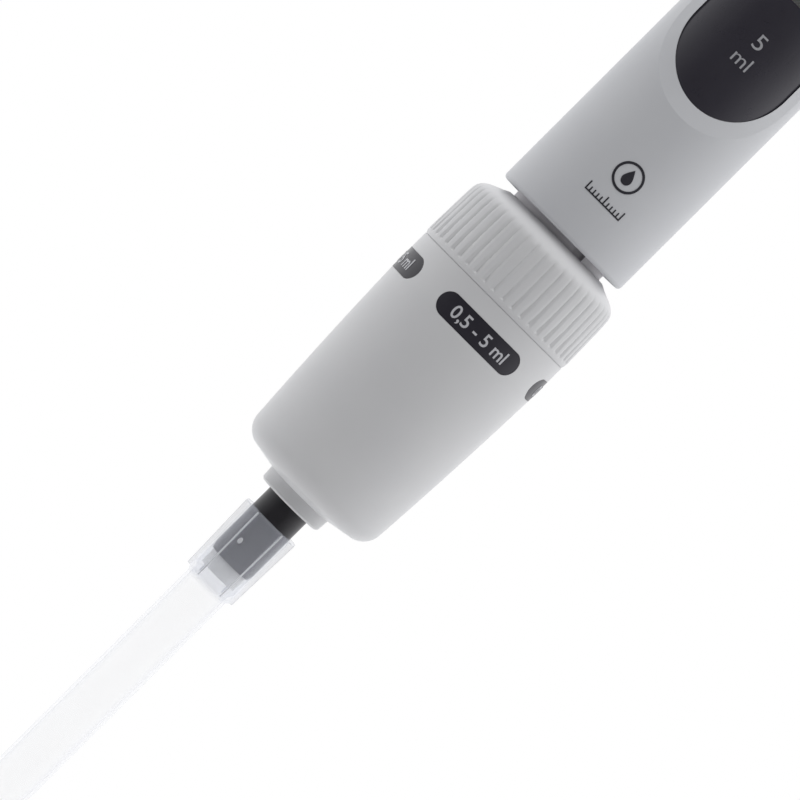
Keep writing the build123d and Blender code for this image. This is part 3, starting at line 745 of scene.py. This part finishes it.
def rule():
    begin()
    bpy.ops.mesh.primitive_plane_add(size=MM)
    line = bpy.context.object
    line.name = "graduated_rule"
    bpy.ops.object.mode_set(mode="EDIT")
    bpy.ops.transform.resize(value=(9.6, 0.3, 1), center_override=(0, 0, 0))
    for tick in range(RULE_TICKS + 1):
        begin()
        bpy.ops.mesh.primitive_plane_add(size=MM)
        mark = bpy.context.object
        bpy.ops.object.mode_set(mode="EDIT")
        tall = 1.9 if tick % 5 == 0 else 1.1
        bpy.ops.transform.resize(value=(0.3, tall, 1), center_override=(0, 0, 0))
        along = -RULE_HALF + 2 * RULE_HALF / RULE_TICKS * tick
        bpy.ops.transform.translate(value=(along * MM, tall / 2 * MM, 0))
        only(line)
        mark.select_set(True)
        bpy.ops.object.join()
    return line


mark = drop_mark()
roll_on(mark, HANDLE_R, HANDLE_MARK, MARK_HEIGHT)
done(mark, ink_dark, "handle")
scale_line = rule()
roll_on(scale_line, HANDLE_R, HANDLE_MARK, RULE_HEIGHT)
done(scale_line, ink_dark, "handle")

# %% [markdown]
# ## The counter
#
# Behind the lens stand three number drums, read from the top: ones, tenths and hundredths, the last
# in red. The dial is at 5.00, so the ones drum shows 5 and the others 0. Each drum gets its ten
# digits rolled round it, and all digits of one drum are one piece, so they turn with their body.

# %% Drum digits
def number_drum(node, shown, finish, radius=11.0):
    height = (bottom_of(node) + top_of(node)) / 2 / MM
    digits = []
    for value in range(10):
        width = 1.6 if value == 1 else 3.0
        piece = lettering(f"{node}_digits", str(value), width, 4.8, bold=0.01)
        roll_on(piece, radius, FRONT + math.radians(36) * (shown - value), height)
        digits.append(piece)
    only(digits[0])
    for piece in digits:
        piece.select_set(True)
    bpy.ops.object.join()
    done(digits[0], finish, body_of[node])


number_drum("counter_drum_ones", 5, ink_white)
number_drum("counter_drum_tenths", 0, ink_white)
number_drum("counter_drum_hundredths", 0, ink_red)

# %% [markdown]
# ## The cavity mark on the tip
#
# Every moulded tip carries a small raised oval with its cavity's mark on the collar. It is a disc
# pulled out of the wall, its rim rounded by a bevel.

# %% Cavity mark
MARK_ASIDE = math.radians(-20)
MARK_RADIUS = 5.45
MARK_LEVEL = 153.2


def cavity_mark():
    begin()
    bpy.ops.mesh.primitive_circle_add(vertices=24, radius=0.55 * MM, fill_type="NGON")
    piece = bpy.context.object
    piece.name = "cavity_mark"
    bpy.ops.object.mode_set(mode="EDIT")
    bpy.ops.mesh.select_all(action="SELECT")
    bpy.ops.transform.resize(value=(0.85, 1.25, 1), center_override=(0, 0, 0))
    bpy.ops.mesh.extrude_region_move(TRANSFORM_OT_translate={"value": (0, 0, 0.4 * MM)})
    bpy.ops.object.mode_set(mode="OBJECT")
    mend(piece)
    apply_modifier(piece, "BEVEL", width=0.12 * MM, segments=3, limit_method="ANGLE")
    only(piece)
    piece.rotation_euler = (math.pi / 2, 0, MARK_ASIDE)
    angle = FRONT + MARK_ASIDE
    reach = MARK_RADIUS * MM
    piece.location = (reach * math.cos(angle), reach * math.sin(angle), MARK_LEVEL * MM)
    bpy.ops.object.transform_apply(location=True, rotation=True, scale=True)
    done(piece, tip_frost, body_of["pipette_tip"])


cavity_mark()

# %% [markdown]
# ## The ejector key and the lock
#
# The ejector key is a curved plate round the dial, standing on three stems. Its plate is a rectangle
# spun through part of a turn, closed at both ends, and bevelled all over, so no edge is sharp under
# the thumb. Four raised ridges, spun the same way, give the thumb a hold. The stems and the ridges
# are then united with the plate. The lock slider gets three small ridges on its face as well.

# %% Ejector key
KEY_STEM_CIRCLE_R = 13.3
RIDGE_LEVELS = (387.4, 389.8, 392.2, 394.6)


def arc_bar(name, outline, half_angle, steps):
    """An outline in (radius, height) mm, closed and spun evenly to both sides of the front."""
    piece = drawn(name, outline + outline[:1])
    bpy.ops.mesh.spin(steps=steps, angle=2 * half_angle, center=(0, 0, 0), axis=(0, 0, 1))
    bpy.ops.mesh.select_all(action="SELECT")
    bpy.ops.mesh.remove_doubles(threshold=WELD)
    bpy.ops.mesh.fill_holes(sides=0)
    bpy.ops.object.mode_set(mode="OBJECT")
    # A spin starts at the outline, so its middle is measured and then turned to the front.
    middle = sum((vertex.co for vertex in piece.data.vertices), Vector())
    piece.rotation_euler = (0, 0, FRONT - math.atan2(middle.y, middle.x))
    bpy.ops.object.transform_apply(location=True, rotation=True, scale=True)
    mend(piece)
    return piece


def unite(piece, other):
    """Adds another closed piece to this one, and removes the other."""
    apply_modifier(piece, "BOOLEAN", operation="UNION", solver="EXACT", object=other)
    only(other)
    bpy.ops.object.delete()


def shaped_ejector_key():
    key = arc_bar("ejector_key_plate", [(12.3, 381), (16.2, 381), (16.2, 399), (12.3, 399)],
                  math.radians(55), 14)
    apply_modifier(key, "BEVEL", width=1.25 * MM, segments=4, limit_method="ANGLE",
                   angle_limit=math.radians(40))
    for level in RIDGE_LEVELS:
        ridge = [(15.9, level - 0.55), (16.3, level - 0.4), (16.5, level), (16.3, level + 0.4),
                 (15.9, level + 0.55)]
        unite(key, arc_bar("ridge", ridge, math.radians(42), 14))
    for turn in (-30, 0, 30):
        stem = lathe("stem", [
            (0, 365), (1.1, 365), (1.1, 380.6), (1.2, 381.2), (1.2, 382.5), (0, 382.5), (0, 365),
        ], 24)
        angle = FRONT + math.radians(turn)
        reach = KEY_STEM_CIRCLE_R * MM
        stem.location = (reach * math.cos(angle), reach * math.sin(angle), 0)
        bpy.ops.object.transform_apply(location=True, rotation=True, scale=True)
        unite(key, stem)
    done(key, key_grey, body_of["ejector_key"], "ejector_key", angle=40)


def lock_ridges():
    """Three bars across the slider's knob, copied upwards from the lowest."""
    begin()
    bpy.ops.mesh.primitive_cube_add(size=MM)
    piece = bpy.context.object
    piece.name = "lock_ridges"
    bpy.ops.object.mode_set(mode="EDIT")
    bpy.ops.transform.resize(value=(4.5, 0.8, 0.55), center_override=(0, 0, 0))
    bpy.ops.transform.translate(value=(0, -17.15 * MM, 345.4 * MM))
    for _ in range(2):
        bpy.ops.mesh.duplicate_move(TRANSFORM_OT_translate={"value": (0, 0, 1.1 * MM)})
    bpy.ops.object.mode_set(mode="OBJECT")
    apply_modifier(piece, "BEVEL", width=0.2 * MM, segments=3, limit_method="ANGLE")
    done(piece, slider_grey, body_of["lock_slider"])


shaped_ejector_key()
lock_ridges()

# %% [markdown]
# ## Fin edges
#
# Six fins stiffen the tip's collar. Light that enters the clear wall leaves it at their outer edges,
# which therefore look frosted. Each edge gets a thin strip, drawn in a little at its lower end, where
# the fins are lower.

# %% Fin edges
FINS = 6
FIN_R = 6.69


def fin_edge(turn):
    low, high = 142.5 * MM, 159.8 * MM
    begin()
    bpy.ops.mesh.primitive_cube_add(size=MM)
    piece = bpy.context.object
    piece.name = f"fin_edge_{turn}"
    bpy.ops.object.mode_set(mode="EDIT")
    bpy.ops.transform.resize(value=(0.06, 0.38, (high - low) / MM), center_override=(0, 0, 0))
    bpy.ops.transform.translate(value=(FIN_R * MM, 0, (low + high) / 2))
    bpy.ops.object.mode_set(mode="OBJECT")
    pick(piece, lambda place: place.z < low + MM)
    bpy.ops.transform.translate(value=(-0.5 * MM, 0, 0))
    bpy.ops.object.mode_set(mode="OBJECT")
    apply_modifier(piece, "BEVEL", width=0.02 * MM, segments=2, limit_method="ANGLE")
    only(piece)
    piece.rotation_euler = (0, 0, turn * math.tau / FINS)
    bpy.ops.object.transform_apply(location=True, rotation=True, scale=True)
    done(piece, tip_frost, body_of["pipette_tip"])


for turn in range(FINS):
    fin_edge(turn)

# %% [markdown]
# ## Light
#
# Product shots of white and grey plastic are made inside a tent. The cloth behind and beside the
# subject is bright and the camera's side is dim, so a grey tube is darkest along its middle and
# melts into white at its edges. The world below is that tent: its brightness follows the direction
# that light comes from. The camera itself sees plain white.

# %% The tent
def tent():
    world = bpy.data.worlds.new("tent")
    world.use_nodes = True
    tree = world.node_tree
    tree.nodes.clear()
    place = tree.nodes.new("ShaderNodeTexCoord")
    split = tree.nodes.new("ShaderNodeSeparateXYZ")
    tree.links.new(place.outputs["Generated"], split.inputs[0])
    side, depth, height = (Wire(tree, split.outputs[i]) for i in range(3))
    glow = (depth * 1.0 + height * height * 0.5 + side * 0.09 + 0.93).clamped_to(0.05, 1.15)
    cloth = tree.nodes.new("ShaderNodeBackground")
    feed(tree, cloth.inputs["Strength"], glow)
    cloth.inputs["Color"].default_value = (0.985, 0.99, 1.0, 1.0)
    backdrop = tree.nodes.new("ShaderNodeBackground")
    backdrop.inputs["Color"].default_value = (1, 1, 1, 1)
    backdrop.inputs["Strength"].default_value = 1.0
    path = tree.nodes.new("ShaderNodeLightPath")
    choose = tree.nodes.new("ShaderNodeMixShader")
    tree.links.new(path.outputs["Is Camera Ray"], choose.inputs[0])
    tree.links.new(cloth.outputs[0], choose.inputs[1])
    tree.links.new(backdrop.outputs[0], choose.inputs[2])
    output = tree.nodes.new("ShaderNodeOutputWorld")
    tree.links.new(choose.outputs[0], output.inputs["Surface"])
    bpy.context.scene.world = world


tent()
bpy.context.scene.view_settings.view_transform = "Standard"

# %% [markdown]
# A wide softbox hangs high in front of the tent's open side. It picks out what leans upwards, the
# dome of the collar and the bevel under the panel, and leaves the upright walls alone.

# %% Softbox
BOX_DISTANCE = 1.3
BOX_ELEVATION = math.radians(50)
BOX_SIZE = (1.3, 1.15)
BOX_TARGET = Vector((0, 0, 0.24))


def hang_softbox(power):
    data = bpy.data.lights.new("softbox", "AREA")
    data.shape = "RECTANGLE"
    data.size, data.size_y = BOX_SIZE
    data.energy = power
    box = bpy.data.objects.new("softbox", data)
    bpy.context.scene.collection.objects.link(box)
    away = Vector((0.1, -math.cos(BOX_ELEVATION), math.sin(BOX_ELEVATION))).normalized()
    box.location = BOX_TARGET + away * BOX_DISTANCE
    box.rotation_euler = away.to_track_quat("Z", "Y").to_euler()
    box.visible_camera = False


hang_softbox(5.2)

# %% [markdown]
# The floor is a pale sheet well below the tip, so that other views have something to stand over. It
# thins out towards its rim, so that no hard edge cuts across the view.

# %% Floor
FLOOR_DROP = 100 * MM
FLOOR_SIZE = 1.6
FLOOR_FADE = 2.3                    # the larger it is, the narrower the rim where the sheet thins out


def lay_floor():
    bpy.ops.mesh.primitive_plane_add(size=FLOOR_SIZE, location=(0, 0, -FLOOR_DROP))
    floor = bpy.context.object
    floor.name = "floor"
    finish = Finish("floor_paper")
    fibre = finish.noise(350, detail=4)
    reach = finish.node(
        "ShaderNodeVectorMath", {"operation": "LENGTH"}, output="Value", Vector=finish.place)
    fade = ((FLOOR_SIZE / 2 - reach) * FLOOR_FADE / FLOOR_SIZE).clamped()
    floor.data.materials.append(finish.surface(
        Base_Color=finish.mixed(fibre, swatch(240, 240, 240), swatch(246, 246, 246)),
        Roughness=0.8,
        Alpha=fade * fade * (3.0 - fade * 2.0),
    ))


lay_floor()
